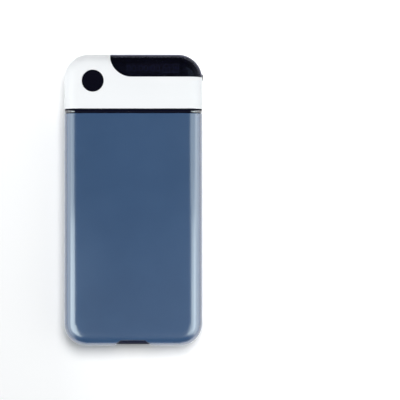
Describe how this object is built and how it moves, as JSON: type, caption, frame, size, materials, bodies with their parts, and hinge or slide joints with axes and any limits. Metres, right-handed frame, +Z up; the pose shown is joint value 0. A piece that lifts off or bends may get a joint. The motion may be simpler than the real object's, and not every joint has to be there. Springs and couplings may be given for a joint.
{
  "type": "timed lock container",
  "caption": "Slim timed lock case for a phone: a padded sleeve and a plug-on cap with display window, round button, side slider and a motor-driven lock bar.",
  "frame": {"origin": "middle of the flat back that the case lies on", "axes": "+X across the case to the slider's side, +Y along it to the cap's end, +Z up through the front with the window and button"},
  "size_m": [0.0906, 0.19, 0.022],
  "materials": {
    "sleeve_blue": "satin gloss, fine moulded",
    "collar_navy": "gloss",
    "cap_white": "satin gloss",
    "window_black": "high gloss, smoked",
    "button_black": "satin",
    "slider_black": "fine matte",
    "port_navy": "satin",
    "pad_felt": "soft felt",
    "chassis_grey": "matte moulded",
    "plate_steel": "stamped",
    "screw_steel": "turned",
    "motor_can": "drawn",
    "brass": "turned",
    "board_green": "solder mask",
    "chip_black": "matte",
    "switch_shell": "stamped",
    "battery_foil": "foil",
    "lead_rubber": "wire insulation",
    "foam_black": "closed-cell foam",
    "panel_glass": "display module",
    "flex_amber": "polyimide"
  },
  "bodies": {
    "sleeve": {"sleeve_front_shell": "sleeve_blue", "sleeve_back_shell": "sleeve_blue", "neck_collar": "collar_navy", "keeper_plate": "plate_steel", "keeper_rivets": "screw_steel", "front_pad": "pad_felt", "back_pad": "pad_felt", "left_side_pad": "pad_felt", "right_side_pad": "pad_felt", "end_pads": "foam_black", "cable_port": "port_navy"},
    "cap": {"cap_front_cover": "cap_white", "cap_back_cover": "cap_white", "display_window": "window_black", "cap_screws": "screw_steel", "cap_chassis": "chassis_grey", "phone_end_pad": "foam_black", "board_screws": "screw_steel", "lock_motor": "motor_can", "motor_terminals": "brass", "motor_gearbox": "brass", "motor_strap": "plate_steel", "screw_bush": "brass", "main_board": "board_green", "board_parts": "chip_black", "tact_switch": "switch_shell", "buzzer": "chip_black", "battery_cell": "battery_foil", "battery_leads": "lead_rubber", "motor_leads": "lead_rubber", "charge_board": "board_green", "usb_receptacle": "switch_shell", "display_panel": "panel_glass", "display_gasket": "foam_black", "display_flex": "flex_amber", "slider_bezel": "slider_black", "switch_body": "switch_shell", "switch_pins": "brass"},
    "lock_screw": {"lead_screw": "screw_steel"},
    "lock_slide": {"lock_bar": "plate_steel", "drive_nut": "brass"},
    "push_button": {"button_cap": "button_black", "tact_plunger": "button_black"},
    "power_slider": {"slider_knob": "slider_black"}
  },
  "joints": [
    {"name": "cap_pull", "type": "slide", "parent": "sleeve", "child": "cap", "axis": [0, 1, 0], "range_m": [0, 0.045]},
    {"name": "screw_turn", "type": "hinge", "parent": "cap", "child": "lock_screw", "pos_m": [0, 0.084, 0.0098], "axis": [-1, 0, 0], "range_deg": [0, 2592]},
    {"name": "bar_slide", "type": "slide", "parent": "cap", "child": "lock_slide", "axis": [1, 0, 0], "range_m": [0, 0.0035]},
    {"name": "button_press", "type": "slide", "parent": "cap", "child": "push_button", "axis": [0, 0, -1], "range_m": [0, 0.0004], "stiffness_N_per_m": 1500, "springref_m": -0.0002},
    {"name": "slider_travel", "type": "slide", "parent": "cap", "child": "power_slider", "axis": [0, -1, 0], "range_m": [0, 0.0033]}
  ],
  "couplings": [
    {"joint": "screw_turn", "follows": "bar_slide", "rad_per_m": 12566}
  ]
}
